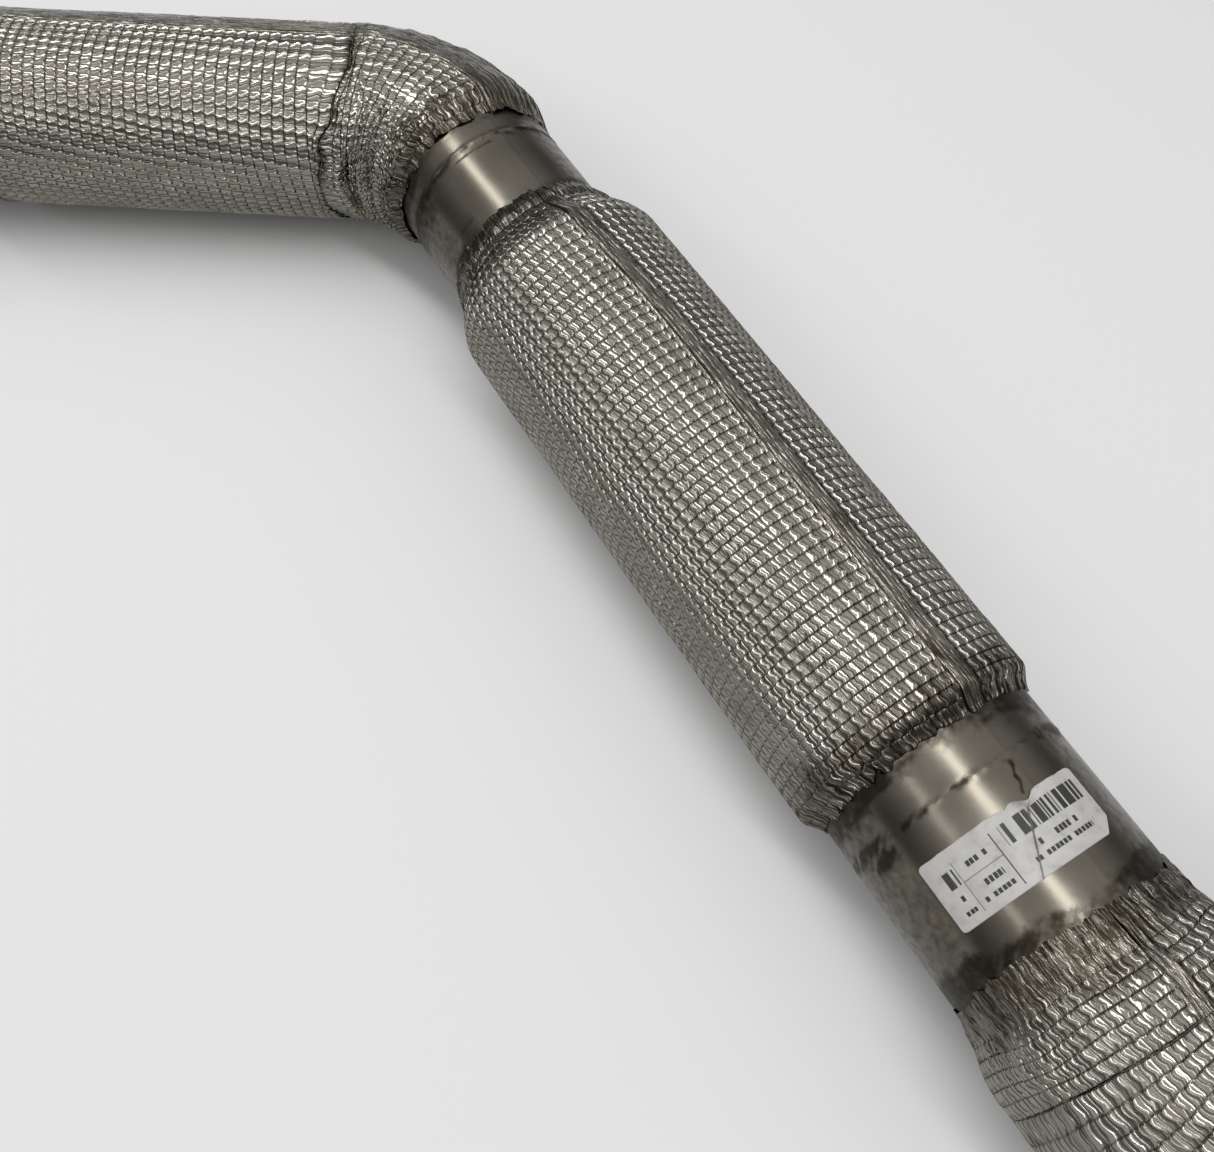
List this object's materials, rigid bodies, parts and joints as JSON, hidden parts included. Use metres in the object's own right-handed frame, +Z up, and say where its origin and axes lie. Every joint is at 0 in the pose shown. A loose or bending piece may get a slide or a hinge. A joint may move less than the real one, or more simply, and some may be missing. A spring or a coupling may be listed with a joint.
{
  "type": "insulated exhaust pipe",
  "caption": "Bent stainless exhaust pipe wrapped in embossed foil heat jackets, with bare bands at its welds and a V-band flange at each end.",
  "frame": {"origin": "on the floor the pipe lies on, under the middle of its whole box", "axes": "+X along the inlet and outlet legs, downstream; +Z up from the plane that the pipe lies in; +Y to the left of the gas"},
  "size_m": [0.871, 0.6056, 0.1143],
  "materials": {
    "foil": "embossed stainless foil, heat tinted at its collars",
    "tube": "dull mill finish with brown weld stains",
    "flange": "turned",
    "insulation": "needled fibre mat",
    "label": "matt coated paper"
  },
  "bodies": {
    "root": {"inlet_flange": "flange", "outlet_flange": "flange", "inlet_tube": "tube", "front_elbow_tube": "tube", "middle_tube": "tube", "expander_cone": "tube", "label_tube": "tube", "rear_elbow_tube": "tube", "outlet_tube": "tube", "inlet_jacket_right_shell": "foil", "inlet_jacket_left_shell": "foil", "front_elbow_jacket_right_shell": "foil", "front_elbow_jacket_left_shell": "foil", "middle_jacket_right_shell": "foil", "middle_jacket_left_shell": "foil", "rear_jacket_right_shell": "foil", "rear_jacket_left_shell": "foil", "rear_elbow_jacket_right_shell": "foil", "rear_elbow_jacket_left_shell": "foil", "outlet_jacket_right_shell": "foil", "outlet_jacket_left_shell": "foil", "inlet_mat": "insulation", "front_elbow_mat": "insulation", "middle_mat": "insulation", "rear_mat": "insulation", "rear_elbow_mat": "insulation", "outlet_mat": "insulation", "part_label": "label"}
  },
  "joints": []
}
